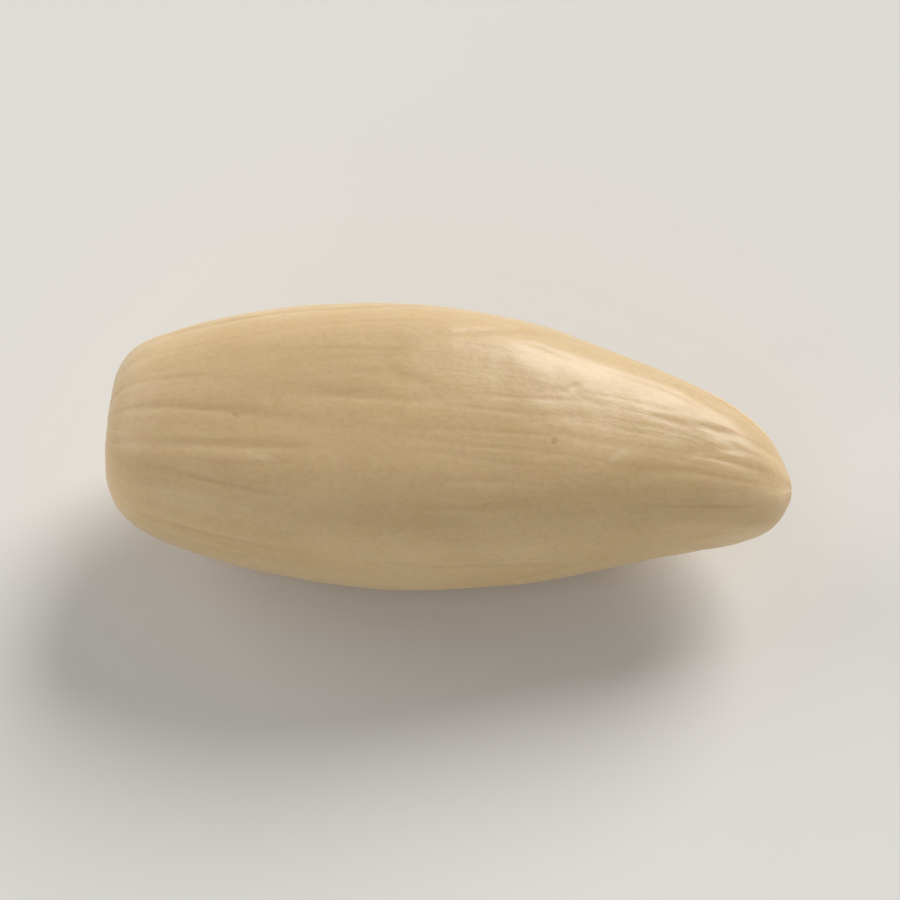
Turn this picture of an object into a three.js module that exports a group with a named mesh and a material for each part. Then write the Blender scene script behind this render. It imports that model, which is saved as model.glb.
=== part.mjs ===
// Shelled pine nut kernel, lying on its flatter side: one solid seed, blunt and nearly square at one
// end and tapered to a small rounded tip at the other, with an arched back, soft flats and ridges
// along its length, and a few shallow hollows. Millimetres, +Z up, the blunt end towards -X and the
// tip towards +X. The origin is on the resting plane, under the middle of the kernel's box.

import * as THREE from 'three';
import { NURBSCurve } from 'three/addons/curves/NURBSCurve.js';
import { mergeVertices } from 'three/addons/utils/BufferGeometryUtils.js';

// Driving dimensions of the finished kernel.
const LENGTH = 16.4;
const WIDTH = 7.0;
const THICKNESS = 5.7;
const REST_DEPTH = 0.08;

// Faces along each edge of the starting ball, whose 20 sides are split this many times plus one.
const BALL_DETAIL = 16;

// The kernel's profile, as the points that pull its smooth curve: how far along from the blunt end, as
// a share of the length, and how far out, as a share of the half width and of the half thickness.
const PROFILE = [
  [0, 0, 0],
  [0, 0.56, 0.42],
  [0.085, 0.78, 0.72],
  [0.27, 0.99, 0.98],
  [0.47, 1.05, 1.05],
  [0.65, 0.92, 0.94],
  [0.82, 0.64, 0.69],
  [0.97, 0.44, 0.44],
  [1, 0.19, 0.19],
  [1, 0, 0],
];
const PROFILE_DEGREE = 3;

// Past its middle the kernel turns towards -Y, so its +Y edge arches over to the tip. Both ends lift.
const TIP_TURN = 0.82;
const TIP_TURN_POWER = 3;
const END_LIFT = 0.25;

// The section is an oval squared by this power, where 2 leaves it round.
const SECTION_POWER = 2.2;

// The blunt end has a shallow dimple, where the seed was joined to its coat, and the tip a small nib.
const DIMPLE_DEPTH = 0.16;
const DIMPLE_REACH = 0.32;
const NIB_HEIGHT = 0.14;
const NIB_REACH = 0.14;

// Soft flats between ridges that run the whole length and turn slowly about it: how many there are
// round the section, how high they stand, and the angle of the first one, in degrees from +Y.
const RIDGE_SETS = [
  { count: 3, height: 0.08, angle: 38, twist: 14 },
  { count: 5, height: 0.032, angle: 62, twist: -12 },
  { count: 8, height: 0.014, angle: 10, twist: 24 },
];

// One ridge stands out more than the rest: it runs along the arched side, over most of the length.
const CREST_HEIGHT = 0.09;
const CREST_ANGLE = 56;
const CREST_TWIST = -14;
const CREST_HALF_WIDTH = 15;

// Slow swellings along the length, each with its own number of waves and side.
const SWELLINGS = [
  { waves: 1.6, height: 0.05, angle: 75, phase: 30 },
  { waves: 2.7, height: 0.018, angle: 200, phase: 110 },
  { waves: 4.3, height: 0.008, angle: 320, phase: 250 },
];

// Shallow hollows pressed in by the coat: place along, angle round, half size of each, and depth.
const HOLLOWS = [
  { place: -0.42, angle: 112, along: 0.2, around: 24, depth: 0.06 },
  { place: 0.42, angle: 70, along: 0.2, around: 18, depth: 0.025 },
  { place: 0.1, angle: 168, along: 0.3, around: 22, depth: 0.06 },
  { place: 0.68, angle: 140, along: 0.14, around: 30, depth: 0.025 },
  { place: -0.05, angle: 350, along: 0.34, around: 18, depth: 0.05 },
];

// Fine furrows that gather at the tip and fade towards the middle.
const FURROW_COUNT = 11;
const FURROW_DEPTH = 0.03;
const FURROW_START = 0.25;

// Turns that bring the broad underside level, with the weight over the resting flat.
const ROLL = 2;
const PITCH = 1.5;

const IVORY = new THREE.Color().setRGB(0.86, 0.74, 0.55, THREE.SRGBColorSpace);

function smoothStep(from, to, value) {
  return THREE.MathUtils.smoothstep(value, from, to);
}

function degreesApart(angle, other) {
  return THREE.MathUtils.euclideanModulo(angle - other + 180, 360) - 180;
}

// A spline clamped at both ends, so the profile meets the long axis square and closes smoothly.
function profileCurve() {
  const points = PROFILE.map((point) => new THREE.Vector4(...point, 1));
  const spans = points.length - PROFILE_DEGREE;
  const inner = Array.from({ length: spans + 1 }, (_, i) => i / spans);
  const clamp = (value) => Array(PROFILE_DEGREE).fill(value);
  return new NURBSCurve(PROFILE_DEGREE, [...clamp(0), ...inner, ...clamp(1)], points);
}

const profile = profileCurve();

function squareness(angle) {
  const turned = THREE.MathUtils.degToRad(angle);
  const power = SECTION_POWER;
  return (Math.abs(Math.cos(turned)) ** power + Math.abs(Math.sin(turned)) ** power) ** (-1 / power);
}

function ridgeHeight(place, angle) {
  let height = 0;
  for (const set of RIDGE_SETS) {
    const turned = THREE.MathUtils.degToRad(angle - set.angle - set.twist * place);
    height += set.height * Math.cos(set.count * turned);
  }
  const fromCrest = degreesApart(angle, CREST_ANGLE + CREST_TWIST * place) / CREST_HALF_WIDTH;
  const fade = 1 - place ** 6;
  return height + CREST_HEIGHT * fade * Math.exp(-fromCrest * fromCrest);
}

function swellingHeight(place, angle) {
  let height = 0;
  for (const swelling of SWELLINGS) {
    const wave = Math.cos(swelling.waves * Math.PI * place + THREE.MathUtils.degToRad(swelling.phase));
    const side = Math.cos(THREE.MathUtils.degToRad(angle - swelling.angle));
    height += swelling.height * wave * side;
  }
  return height;
}

function hollowDepth(place, angle) {
  let depth = 0;
  for (const hollow of HOLLOWS) {
    const along = (place - hollow.place) / hollow.along;
    const around = degreesApart(angle, hollow.angle) / hollow.around;
    depth += hollow.depth * Math.exp(-along * along - around * around);
  }
  return depth;
}

function furrowDepth(place, angle) {
  const fade = smoothStep(FURROW_START, 1, place);
  const turned = FURROW_COUNT * THREE.MathUtils.degToRad(angle);
  return FURROW_DEPTH * fade * (0.5 + 0.5 * Math.cos(turned + 3 * place));
}

// A point of the ball's surface becomes the matching point of the kernel's: its angle from the
// blunt pole says how far along the profile it lies. Place runs from -1 at that end to +1 at the tip.
function shapePoint(point) {
  const fromBluntPole = Math.acos(-point.x) / Math.PI;
  const { x: along, y: wide, z: thick } = profile.getPointAt(fromBluntPole);
  const place = 2 * along - 1;
  const ring = Math.hypot(point.y, point.z);
  const angle = THREE.MathUtils.radToDeg(Math.atan2(point.z, point.y));
  const relief = ridgeHeight(place, angle) + swellingHeight(place, angle)
    - hollowDepth(place, angle) - furrowDepth(place, angle);
  const spread = squareness(angle) + (relief * Math.min(1, wide)) / (WIDTH / 2);
  const dimple = place < 0 ? DIMPLE_DEPTH * Math.exp(-((wide / DIMPLE_REACH) ** 2)) : 0;
  const nib = place > 0 ? NIB_HEIGHT * Math.exp(-((wide / NIB_REACH) ** 2)) : 0;
  const turn = TIP_TURN * Math.max(0, place) ** TIP_TURN_POWER;
  const lift = END_LIFT * place ** 2;
  const across = ring > 0 ? spread / ring : 0;
  point.set(
    (place * LENGTH) / 2 + dimple + nib,
    (point.y * across * wide * WIDTH) / 2 - turn,
    (point.z * across * thick * THICKNESS) / 2 + lift,
  );
}

function kernelGeometry() {
  const ball = new THREE.IcosahedronGeometry(1, BALL_DETAIL);
  ball.deleteAttribute('normal');
  ball.deleteAttribute('uv');
  const geometry = mergeVertices(ball, 1e-5);
  const positions = geometry.getAttribute('position');
  const point = new THREE.Vector3();
  for (let i = 0; i < positions.count; i += 1) {
    point.fromBufferAttribute(positions, i).normalize();
    shapePoint(point);
    positions.setXYZ(i, point.x, point.y, point.z);
  }
  geometry.rotateX(THREE.MathUtils.degToRad(ROLL));
  geometry.rotateY(THREE.MathUtils.degToRad(PITCH));
  fitToSize(geometry);
  pressFlat(positions);
  geometry.computeVertexNormals();
  return geometry;
}

// The shape is scaled to its driving sizes, with its underside just below the resting plane.
function fitToSize(geometry) {
  geometry.computeBoundingBox();
  const box = geometry.boundingBox;
  const size = box.getSize(new THREE.Vector3());
  const centre = box.getCenter(new THREE.Vector3());
  geometry.translate(-centre.x, -centre.y, -box.min.z);
  geometry.scale(LENGTH / size.x, WIDTH / size.y, (THICKNESS + REST_DEPTH) / size.z);
  geometry.translate(0, 0, -REST_DEPTH);
}

// What reaches below the resting plane is pressed up into it, as a small flat spot.
function pressFlat(positions) {
  for (let i = 0; i < positions.count; i += 1) {
    positions.setZ(i, Math.max(0, positions.getZ(i)));
  }
  positions.needsUpdate = true;
}

const kernel = new THREE.Mesh(
  kernelGeometry(),
  new THREE.MeshStandardMaterial({ color: IVORY, roughness: 0.45, metalness: 0 }),
);
kernel.name = 'kernel';

const pineNut = new THREE.Group();
pineNut.add(kernel);

export default pineNut;
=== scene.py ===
import math
import random

import bpy
import numpy as np
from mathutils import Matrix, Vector, noise


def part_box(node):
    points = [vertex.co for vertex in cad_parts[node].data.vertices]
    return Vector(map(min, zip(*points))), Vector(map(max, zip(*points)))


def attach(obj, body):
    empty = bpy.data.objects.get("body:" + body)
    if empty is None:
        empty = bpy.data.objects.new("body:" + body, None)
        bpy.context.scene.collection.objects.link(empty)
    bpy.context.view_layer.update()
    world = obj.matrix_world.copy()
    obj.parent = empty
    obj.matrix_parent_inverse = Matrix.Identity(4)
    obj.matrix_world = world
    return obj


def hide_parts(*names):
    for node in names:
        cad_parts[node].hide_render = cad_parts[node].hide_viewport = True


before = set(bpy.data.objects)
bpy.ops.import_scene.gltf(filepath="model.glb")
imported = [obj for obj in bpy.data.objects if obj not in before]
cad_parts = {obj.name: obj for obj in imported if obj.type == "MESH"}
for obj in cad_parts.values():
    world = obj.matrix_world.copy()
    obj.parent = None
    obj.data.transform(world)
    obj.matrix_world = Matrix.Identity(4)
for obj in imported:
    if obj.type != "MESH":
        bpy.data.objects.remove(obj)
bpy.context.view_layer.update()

# The kernel is the whole seed of a stone pine, taken out of its woody shell and rubbed clean of its
# brown skin. It is firm, oily, ivory flesh that grew as one piece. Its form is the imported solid's,
# worked finer, so that its ridges flow into each other and its surface can hold fine relief.
MM = 0.001
FLESH_GRID = 0.064 * MM
MERGE_DISTANCE = 0.002 * MM
SMOOTHING_SHARE = 0.5
SMOOTHING_PASSES = 16


def finish_with(piece, kind, **settings):
    modifier = piece.modifiers.new(kind.title(), kind)
    for name, value in settings.items():
        setattr(modifier, name, value)
    bpy.ops.object.modifier_apply(modifier=modifier.name)


bpy.ops.object.select_all(action="DESELECT")
kernel = bpy.data.objects.new("pine_kernel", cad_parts["kernel"].data.copy())
bpy.context.scene.collection.objects.link(kernel)
bpy.context.view_layer.objects.active = kernel
kernel.select_set(True)
bpy.ops.object.mode_set(mode="EDIT")
bpy.ops.mesh.select_all(action="SELECT")
bpy.ops.mesh.remove_doubles(threshold=MERGE_DISTANCE)
bpy.ops.object.mode_set(mode="OBJECT")
finish_with(kernel, "REMESH", mode="VOXEL", voxel_size=FLESH_GRID)
finish_with(kernel, "SMOOTH", factor=SMOOTHING_SHARE, iterations=SMOOTHING_PASSES)
bpy.ops.object.shade_smooth()

# Every point of the flesh is known by how it grew: its place along the kernel, from 0 at the blunt end
# to 1 at the tip, its angle round the curved middle line, from the arched side upwards, and its
# distance from that line, which is the girth there.
MIDDLE_SLICES = 40
MIDDLE_BENDS = 4


def vectors_of(items, name):
    numbers = np.empty(len(items) * 3)
    items.foreach_get(name, numbers)
    return numbers.reshape(-1, 3)


flesh = kernel.data
spots = vectors_of(flesh.vertices, "co")
outward = vectors_of(flesh.vertex_normals, "vector")
lowest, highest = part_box("kernel")
along = (spots[:, 0] - lowest.x) / (highest.x - lowest.x)


def from_middle(values):
    """How far the spots lie from the middle line, a smooth curve through the middles of slices."""
    stations = (np.arange(MIDDLE_SLICES) + 0.5) / MIDDLE_SLICES
    middles = []
    for station in stations:
        ring = values[np.abs(along - station) < 0.5 / MIDDLE_SLICES]
        middles.append((ring.min() + ring.max()) / 2)
    return values - np.polyval(np.polyfit(stations, middles, MIDDLE_BENDS), along)


across = from_middle(spots[:, 1])
above = from_middle(spots[:, 2])
angle = np.arctan2(above, across)
girth = np.hypot(above, across)

# The flesh has slow lumps all over, and broad flutes and two sets of furrows that wander along it,
# where the coat pressed its veins in. Flutes and furrows run out into both ends, and the furrows come
# and go in patches. Sizes, heights and depths are in millimetres.
LUMPS = (
    {"size": 2.6, "height": 0.045},
    {"size": 1.1, "height": 0.018},
    {"size": 0.45, "height": 0.005},
    {"size": 0.22, "height": 0.0024},
)
LUMP_SHIFT = (3.1, 7.7, 1.9)
FLUTES = {"around": 1.5, "lengths": 1.3, "height": 0.025, "shift": (0.4, 5.2, 8.8)}
FURROW_SETS = (
    {"around": 2.4, "lengths": 2.1, "sharpness": 0.06, "depth": 0.034, "shift": (9.3, 2.6, 4.1)},
    {"around": 6.0, "lengths": 3.4, "sharpness": 0.1, "depth": 0.012, "shift": (1.3, 3.8, 9.4)},
)
DEEPEST_FURROW = max(furrows["depth"] for furrows in FURROW_SETS)
PATCHES = {"size": 3.2, "edges": (-0.4, 0.45), "shift": (6.2, 0.7, 3.3)}
END_FADE = 0.9


def smooth_step(low, high, values):
    share = np.clip((values - low) / (high - low), 0, 1)
    return share * share * (3 - 2 * share)


def hump(distance):
    """1 in the middle, and falling softly away from it."""
    return np.exp(-(distance**2))


def wandering(places, shift):
    """Smooth noise read at every place. Each shift gives a noise of its own."""
    return np.array([noise.noise(Vector(place) + Vector(shift)) for place in places])


def in_space(size):
    return spots / (size * MM)


def as_grown(around, lengths):
    """Every spot's place on a straight round seed, so that what it shapes runs along the kernel."""
    return np.column_stack((around * np.cos(angle), around * np.sin(angle), lengths * along))


relief = np.zeros(len(spots))
for lump in LUMPS:
    relief += lump["height"] * wandering(in_space(lump["size"]), LUMP_SHIFT)

fade = smooth_step(0, END_FADE * MM, girth)
flutes = wandering(as_grown(FLUTES["around"], FLUTES["lengths"]), FLUTES["shift"])
relief += FLUTES["height"] * fade * flutes

patches = smooth_step(*PATCHES["edges"], wandering(in_space(PATCHES["size"]), PATCHES["shift"]))
# Furrowed marks the furrows, and further down the end creases too. The colour is painted darker there as
# painted shade, and the trace of skin spreads along it.
furrowed = np.zeros(len(spots))
for furrows in FURROW_SETS:
    lines = wandering(as_grown(furrows["around"], furrows["lengths"]), furrows["shift"])
    furrow = fade * patches * hump(lines / furrows["sharpness"])
    relief -= furrows["depth"] * furrow
    furrowed = np.maximum(furrowed, furrow * furrows["depth"] / DEEPEST_FURROW)

# At the tip the flesh is drawn into uneven creases round the point that the root would grow from.
# Round the dimple of the blunt end, where the food of the seed came in, it is puckered. A reach is a
# share of the length, a width is in degrees, and depths and the clear middle are in millimetres.
CREASED_ENDS = (
    {"count": 8, "end": 1.0, "reach": 0.18, "depth": (0.004, 0.028), "width": 11, "clear": 0.25},
    {"count": 6, "end": 0.0, "reach": 0.13, "depth": (0.003, 0.014), "width": 17, "clear": 0.4},
)
CREASE_JITTER = 0.48
CREASE_LENGTHS = (0.5, 1)
CREASE_FULL_WITHIN = 0.25
CREASE_START = (0.5, 1)
CREASE_WAVER = {"degrees": 24, "size": 1.3, "shift": (1.5, 8.4, 2.7)}

chance = random.Random(20)
waver = CREASE_WAVER["degrees"] * wandering(in_space(CREASE_WAVER["size"]), CREASE_WAVER["shift"])
for creases in CREASED_ENDS:
    from_end = np.abs(along - creases["end"])
    for index in range(creases["count"]):
        place = 360 / creases["count"] * (index + chance.uniform(-1, 1) * CREASE_JITTER)
        reach = creases["reach"] * chance.uniform(*CREASE_LENGTHS)
        depth = chance.uniform(*creases["depth"])
        apart = (np.degrees(angle) + waver - place + 180) % 360 - 180
        band = smooth_step(reach, reach * CREASE_FULL_WITHIN, from_end)
        band *= smooth_step(*CREASE_START, girth / (creases["clear"] * MM))
        crease = band * hump(apart / creases["width"])
        relief -= depth * crease
        furrowed = np.maximum(furrowed, crease * depth / creases["depth"][1])

# Shelling and rubbing against other kernels leave their marks: shallow dents, short scratches with a
# raised lip, and scraped places, where the waxy surface is broken in streaks and looks paler. Lengths,
# widths and depths are in millimetres. A shape is a mark's breadth as a share of its length.
DENTS = 22
DENT_LENGTH = (0.16, 0.6)
DENT_SHAPE = 0.6
DENT_DEPTH = (0.006, 0.02)
DENT_RAGGEDNESS = 0.6
SCRATCHES = 16
SCRATCH_LENGTH = (0.3, 1.2)
SCRATCH_WIDTH = (0.07, 0.1)
SCRATCH_DEPTH = (0.005, 0.012)
SCRATCH_BEND = (-0.1, 0.1)
SCRATCH_PALENESS = 0.5
LIP_HEIGHT = 0.4
LIP_PLACE = 1.7
SCRAPES = 7
SCRAPE_LENGTH = (0.7, 1.8)
SCRAPE_SHAPE = 0.35
SCRAPE_DEPTH = 0.006
SCRAPE_STREAK = (0.9, 0.15)
SCRAPE_SHIFT = (2.2, 6.1)
SCRAPE_MIDDLE = 0.45
SCRAPE_FALL = 0.6
SCRAPE_STREAKINESS = 1.1
SCRAPE_RAGGEDNESS = 0.3
SCRAPE_EDGES = (0.1, 0.7)
RAGGED = {"size": 0.3, "shift": (4.6, 1.1, 7.9)}
LEAN = math.radians(35)
NEAR_SIDE = 1

scuffed = np.zeros(len(spots))
ragged = wandering(in_space(RAGGED["size"]), RAGGED["shift"])


def across_a_mark(turn):
    """Every spot's place from the middle of a mark: along it, beside it and out, in millimetres."""
    index = chance.randrange(len(spots))
    out = Vector(outward[index])
    lengthwise = (Vector((1, 0, 0)) - out.x * out).normalized()
    run = math.cos(turn) * lengthwise + math.sin(turn) * out.cross(lengthwise)
    offsets = (spots - spots[index]) / MM
    return offsets @ np.array(run), offsets @ np.array(out.cross(run)), offsets @ np.array(out)


for _ in range(DENTS):
    forward, beside, out = across_a_mark(chance.uniform(-LEAN, LEAN))
    half = chance.uniform(*DENT_LENGTH) / 2
    spread = (forward / half) ** 2 + (beside / (DENT_SHAPE * half)) ** 2
    dent = np.exp(-spread * (1 + DENT_RAGGEDNESS * ragged)) * (np.abs(out) < NEAR_SIDE)
    relief -= chance.uniform(*DENT_DEPTH) * dent

for _ in range(SCRATCHES):
    forward, beside, out = across_a_mark(chance.uniform(0, math.pi))
    half = chance.uniform(*SCRATCH_LENGTH) / 2
    width = chance.uniform(*SCRATCH_WIDTH)
    beside = beside - chance.uniform(*SCRATCH_BEND) * (forward / half) ** 2
    within = np.exp(-((forward / half) ** 4)) * (np.abs(out) < NEAR_SIDE)
    cut = within * hump(beside / width)
    lip = within * hump((beside - LIP_PLACE * width) / width)
    relief += chance.uniform(*SCRATCH_DEPTH) * (LIP_HEIGHT * lip - cut)
    scuffed = np.maximum(scuffed, SCRATCH_PALENESS * cut)

for _ in range(SCRAPES):
    forward, beside, out = across_a_mark(chance.uniform(-LEAN, LEAN))
    half = chance.uniform(*SCRAPE_LENGTH) / 2
    spread = (forward / half) ** 2 + (beside / (SCRAPE_SHAPE * half)) ** 2
    streaks = np.column_stack((forward / SCRAPE_STREAK[0], beside / SCRAPE_STREAK[1], out))
    torn = SCRAPE_MIDDLE - SCRAPE_FALL * spread
    torn += SCRAPE_STREAKINESS * wandering(streaks, (half, *SCRAPE_SHIFT))
    torn += SCRAPE_RAGGEDNESS * ragged
    scrape = smooth_step(*SCRAPE_EDGES, torn) * (np.abs(out) < NEAR_SIDE)
    relief -= SCRAPE_DEPTH * scrape
    scuffed = np.maximum(scuffed, scrape)

# A trace of the thin brown skin stays where it was fastened: at the very tip, round the pore that the
# root would grow from, and in the dimple of the blunt end. It runs out along the creases there.
TIP_PORE = {"radius": 0.12, "depth": 0.04}
TIP_SKIN = 0.34
DIMPLE_SKIN = 0.5
SKIN_IN_CREASES = 0.5
SKIN_RAGGEDNESS = 0.35


def near(middle, radius):
    """1 at a middle, and falling softly away from it over a radius in millimetres."""
    return np.exp(-(((spots - middle) ** 2).sum(axis=1) / (radius * MM) ** 2))


skin = np.zeros(len(spots))
tip = spots[np.argmax(spots[:, 0])]
dimple = spots[np.argmin(np.where(along > 0.5, np.inf, girth))]
for middle, radius in ((tip, TIP_SKIN), (dimple, DIMPLE_SKIN)):
    left_on = near(middle, radius) * (1 + SKIN_IN_CREASES * furrowed + SKIN_RAGGEDNESS * ragged)
    skin = np.maximum(skin, left_on)
relief -= TIP_PORE["depth"] * near(tip, TIP_PORE["radius"])

spots += outward * relief[:, None] * MM
spots[:, 2] = np.maximum(spots[:, 2], lowest.z)
flesh.vertices.foreach_set("co", spots.ravel())
flesh.update()

# Where the flesh stands proud, on its ridges and its ends, it has rubbed against other kernels and is
# paler and duller. The hollows between are not made paler. Proud is how far a spot stands out,
# in millimetres, from the same flesh levelled by many rounds of averaging.
LEVELLING_ROUNDS = 60

edges = np.empty(len(flesh.edges) * 2, dtype=np.int32)
flesh.edges.foreach_get("vertices", edges)
edges = edges.reshape(-1, 2)
neighbours = np.bincount(edges.ravel(), minlength=len(spots))
levelled = spots.copy()
for _ in range(LEVELLING_ROUNDS):
    for axis in range(3):
        total = np.bincount(edges[:, 0], levelled[edges[:, 1], axis], len(spots))
        total += np.bincount(edges[:, 1], levelled[edges[:, 0], axis], len(spots))
        levelled[:, axis] = (levelled[:, axis] + total) / (1 + neighbours)
proud = ((spots - levelled) * outward).sum(axis=1) / MM

breadth = highest.y - lowest.y
length = highest.x - lowest.x
grown = np.column_stack((np.cos(angle) * breadth / 2, np.sin(angle) * breadth / 2, along * length))
flesh.attributes.new("grown", "FLOAT_VECTOR", "POINT").data.foreach_set("vector", grown.ravel())
for name, values in (
    ("furrowed", furrowed),
    ("scuffed", scuffed),
    ("skin", skin),
    ("proud", proud),
    ("along", along),
):
    flesh.attributes.new(name, "FLOAT", "POINT").data.foreach_set("value", values)


# The flesh is cream to tan, with faint streaks along it, soft clouds and the speckle of its cells, and it
# is paler where it is worn. Its furrows and creases are painted a deeper tan, as painted shade. Light
# sinks up to about a millimetre into it, as into wax, and its own oil leaves a thin soft sheen.
class Shade:
    """A socket in a material's nodes. Sums of shades add the nodes that work them out."""

    def __init__(self, tree, socket=None):
        self.tree = tree
        self.socket = socket

    def node(self, kind, settings, inputs, output=0):
        made = self.tree.nodes.new(kind)
        for name, value in settings.items():
            setattr(made, name, value)
        for name, value in inputs.items():
            if isinstance(value, Shade):
                self.tree.links.new(value.socket, made.inputs[name])
            else:
                made.inputs[name].default_value = value
        return Shade(self.tree, made.outputs[output])

    def maths(self, operation, first, second):
        return self.node("ShaderNodeMath", {"operation": operation}, {0: first, 1: second})

    def __add__(self, other):
        return self.maths("ADD", self, other)

    def __sub__(self, other):
        return self.maths("SUBTRACT", self, other)

    def __rsub__(self, other):
        return self.maths("SUBTRACT", other, self)

    def __mul__(self, other):
        return self.maths("MULTIPLY", self, other)

    __radd__ = __add__
    __rmul__ = __mul__

    def between(self, low, high):
        settings = {"interpolation_type": "SMOOTHSTEP"}
        return self.node("ShaderNodeMapRange", settings, {0: self, 1: low, 2: high})

    def blend(self, first, second):
        """A colour from first to second, as this shade goes from 0 to 1."""
        # A Mix node has sockets of one name for each kind of value, so its colours go by number.
        inputs = {0: self, 6: first, 7: second}
        return self.node("ShaderNodeMix", {"data_type": "RGBA"}, inputs, 2)

    def attribute(self, name, output="Fac"):
        return self.node("ShaderNodeAttribute", {"attribute_name": name}, {}, output)

    def place(self, scale, as_grown=False):
        """Places in millimetres times scale, in space or round and along the seed as it grew."""
        if as_grown:
            spot = self.attribute("grown", "Vector")
        else:
            spot = self.node("ShaderNodeTexCoord", {}, {}, "Object")
        stretch = [part / MM for part in scale]
        return self.node("ShaderNodeMapping", {}, {"Vector": spot, "Scale": stretch})

    def clouds(self, scale, detail, roughness, as_grown=False):
        place = self.place(scale, as_grown)
        inputs = {"Vector": place, "Scale": 1.0, "Detail": detail, "Roughness": roughness}
        return self.node("ShaderNodeTexNoise", {}, inputs, "Fac")

    def cells(self, scale):
        """Small domes packed side by side, from 0 at their tops to about 1 between them."""
        inputs = {"Vector": self.place(scale), "Scale": 1.0}
        return self.node("ShaderNodeTexVoronoi", {"feature": "F1"}, inputs, "Distance")


CREAM = (0.68, 0.514, 0.296, 1)
TAN = (0.56, 0.398, 0.195, 1)
DEEP_TAN = (0.46, 0.29, 0.125, 1)
PALE = (0.80, 0.665, 0.47, 1)
SKIN_BROWN = (0.27, 0.13, 0.05, 1)
SATIN = 0.33

flesh_look = bpy.data.materials.new("kernel_flesh")
flesh_look.use_nodes = True
shader = flesh_look.node_tree.nodes["Principled BSDF"]
shade = Shade(flesh_look.node_tree)

streaks = shade.clouds((1.1, 1.1, 0.22), detail=4.0, roughness=0.6, as_grown=True).between(0.36, 0.66)
mottle = shade.clouds((0.4, 0.4, 0.4), detail=5.0, roughness=0.6).between(0.35, 0.68)
speckle = shade.clouds((7, 10, 10), detail=3.0, roughness=0.65).between(0.36, 0.66)
cells = shade.cells((6, 9, 9))
flecks = shade.clouds((1.7, 2.4, 2.4), detail=4.0, roughness=0.55).between(0.69, 0.76)
warm_tip = shade.attribute("along").between(0.75, 1.05)
rubbed = shade.attribute("proud") + shade.clouds((2.2, 2.2, 2.2), detail=3.0, roughness=0.6) * 0.02
worn = rubbed.between(0.028, 0.06)
scuffs = shade.attribute("scuffed")
skin_left = shade.attribute("skin") + shade.clouds((5, 5, 5), detail=3.0, roughness=0.6) * 0.5
stained = skin_left.between(0.3, 1.2)
crust = skin_left.between(0.95, 1.45)

deeper = streaks * 0.2 + mottle * 0.26 + speckle * 0.2 + cells.between(0.35, 0.85) * 0.16
colour = deeper.blend(CREAM, TAN)
for layer, share, tone in (
    (warm_tip, 0.15, TAN),
    (worn, 0.22, PALE),
    # Painted shade: the furrows and creases are darkened towards deep tan.
    (shade.attribute("furrowed"), 0.13, DEEP_TAN),
    (scuffs, 0.3, PALE),
    (flecks, 0.6, DEEP_TAN),
    (stained, 0.35, DEEP_TAN),
    (crust, 0.7, SKIN_BROWN),
):
    colour = (layer * share).blend(colour, tone)

sheen_patches = shade.clouds((0.8, 0.8, 0.8), detail=2.0, roughness=0.5).between(0.3, 0.7)
roughness = SATIN + sheen_patches * 0.1 + worn * 0.06 + scuffs * 0.18 + crust * 0.2
wrinkled = shade.clouds((0.6, 0.6, 0.6), detail=2.0, roughness=0.5).between(0.35, 0.7)
wrinkles = shade.clouds((6, 6, 0.9), detail=3.0, roughness=0.5, as_grown=True) * (0.25 + wrinkled * 0.6)
grain = shade.clouds((11, 11, 11), detail=2.0, roughness=0.5)
fine_relief = wrinkles + grain * 0.3 - cells * 0.3
bump_inputs = {"Strength": 0.45, "Distance": 0.02 * MM, "Height": fine_relief}
bump = shade.node("ShaderNodeBump", {}, bump_inputs, "Normal")

for name, value in (("Base Color", colour), ("Roughness", roughness), ("Normal", bump)):
    flesh_look.node_tree.links.new(value.socket, shader.inputs[name])
shader.inputs["IOR"].default_value = 1.45
shader.inputs["Subsurface Weight"].default_value = 0.65
shader.inputs["Subsurface Radius"].default_value = (1.0, 0.6, 0.3)
shader.inputs["Subsurface Scale"].default_value = 0.7 * MM
shader.inputs["Coat Weight"].default_value = 0.12
shader.inputs["Coat Roughness"].default_value = 0.2

flesh.materials.clear()
flesh.materials.append(flesh_look)
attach(kernel, "root")
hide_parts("kernel")

# The kernel lies on a plain floor of matt, pale board. It is wide enough to reach the horizon, where
# it meets surroundings of nearly its own tone.
FLOOR_RADIUS = 4
FLOOR_SIDES = 96
BOARD_GREY = (0.80, 0.79, 0.77, 1)
BOARD_ROUGHNESS = 0.9

bpy.ops.object.select_all(action="DESELECT")
bpy.ops.mesh.primitive_circle_add(vertices=FLOOR_SIDES, radius=FLOOR_RADIUS, fill_type="NGON")
floor = bpy.context.active_object
floor.name = "pale_floor"
floor_look = bpy.data.materials.new("pale_floor")
floor_look.use_nodes = True
board = floor_look.node_tree.nodes["Principled BSDF"]
board.inputs["Base Color"].default_value = BOARD_GREY
board.inputs["Roughness"].default_value = BOARD_ROUGHNESS
board.inputs["Specular IOR Level"].default_value = 0.0
floor.data.materials.append(floor_look)

# One broad soft light stands behind the kernel and to its right, as the bright upper rims show, and a
# second lights its blunt end from behind. Two weaker ones in front, one high and one low, fill the
# shaded side. Places are in millimetres and breadths in degrees.
LIGHTS = (
    {"name": "key", "place": (70, 115, 95), "breadth": 34, "power": 2.55, "tint": (1.0, 0.97, 0.92)},
    {"name": "rim", "place": (-130, 60, 80), "breadth": 40, "power": 0.63, "tint": (1.0, 0.97, 0.93)},
    {"name": "fill", "place": (-60, -120, 160), "breadth": 40, "power": 0.28, "tint": (1.0, 0.95, 0.87)},
    {"name": "front", "place": (-110, -170, 60), "breadth": 18, "power": 0.22, "tint": (1.0, 0.95, 0.87)},
)

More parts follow.
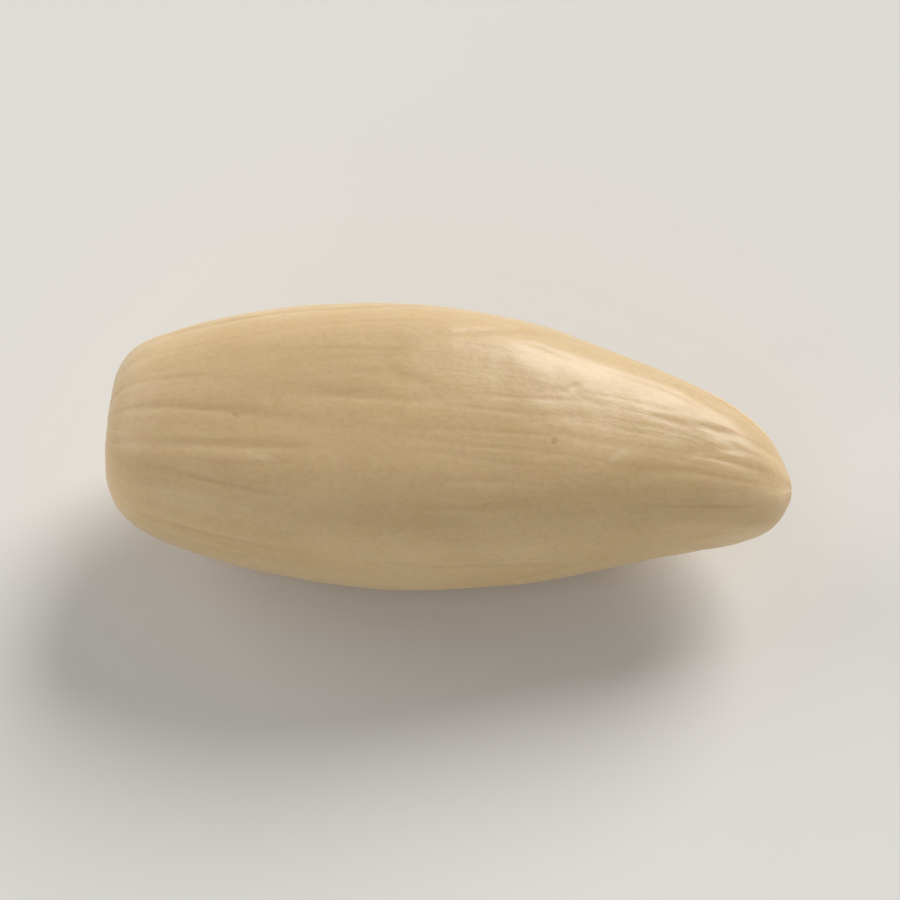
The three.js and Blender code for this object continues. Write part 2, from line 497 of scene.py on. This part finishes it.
aim = Vector((0, 0, (lowest.z + highest.z) / 2))
for light in LIGHTS:
    lamp = bpy.data.lights.new(light["name"], "SUN")
    lamp.angle = math.radians(light["breadth"])
    lamp.energy = light["power"]
    lamp.color = light["tint"]
    stand = bpy.data.objects.new(light["name"], lamp)
    stand.location = Vector(light["place"]) * MM
    stand.rotation_euler = (aim - stand.location).to_track_quat("-Z", "Y").to_euler()
    bpy.context.scene.collection.objects.link(stand)

# The surroundings are pale and plain. They are brightest near the horizon, where the floor meets
# them, and darker overhead.
HORIZON = (0.742, 0.7165, 0.676, 1)
ZENITH = (0.22, 0.225, 0.235, 1)
SKY_FALL = (0.05, 0.6)

sky = bpy.data.worlds.new("studio")
sky.use_nodes = True
air = Shade(sky.node_tree)
toward = air.node("ShaderNodeTexCoord", {}, {}, "Generated")
height = air.node("ShaderNodeSeparateXYZ", {}, {"Vector": toward}, "Z")
air_colour = height.between(*SKY_FALL).blend(HORIZON, ZENITH)
sky.node_tree.links.new(air_colour.socket, sky.node_tree.nodes["Background"].inputs["Color"])
bpy.context.scene.world = sky
bpy.context.scene.view_settings.view_transform = "Standard"

# The camera looks down on the kernel as steeply as in the photograph, from a little to its right. The
# kernel spans about three quarters of the frame's width.
CAMERA_TURN = math.radians(-2)
CAMERA_DROP = math.radians(60)
CAMERA_DISTANCE = 81 * MM
LENS_LENGTH = 135
NEAREST_SEEN = 5 * MM
FARTHEST_SEEN = 12

lens = bpy.data.cameras.new("camera")
lens.lens = LENS_LENGTH
lens.clip_start = NEAREST_SEEN
lens.clip_end = FARTHEST_SEEN
camera = bpy.data.objects.new("camera", lens)
ground_distance = CAMERA_DISTANCE * math.cos(CAMERA_DROP)
camera.location = aim + Vector(
    (
        -ground_distance * math.sin(CAMERA_TURN),
        -ground_distance * math.cos(CAMERA_TURN),
        CAMERA_DISTANCE * math.sin(CAMERA_DROP),
    )
)
camera.rotation_euler = (aim - camera.location).to_track_quat("-Z", "Y").to_euler()
bpy.context.scene.collection.objects.link(camera)
bpy.context.scene.camera = camera
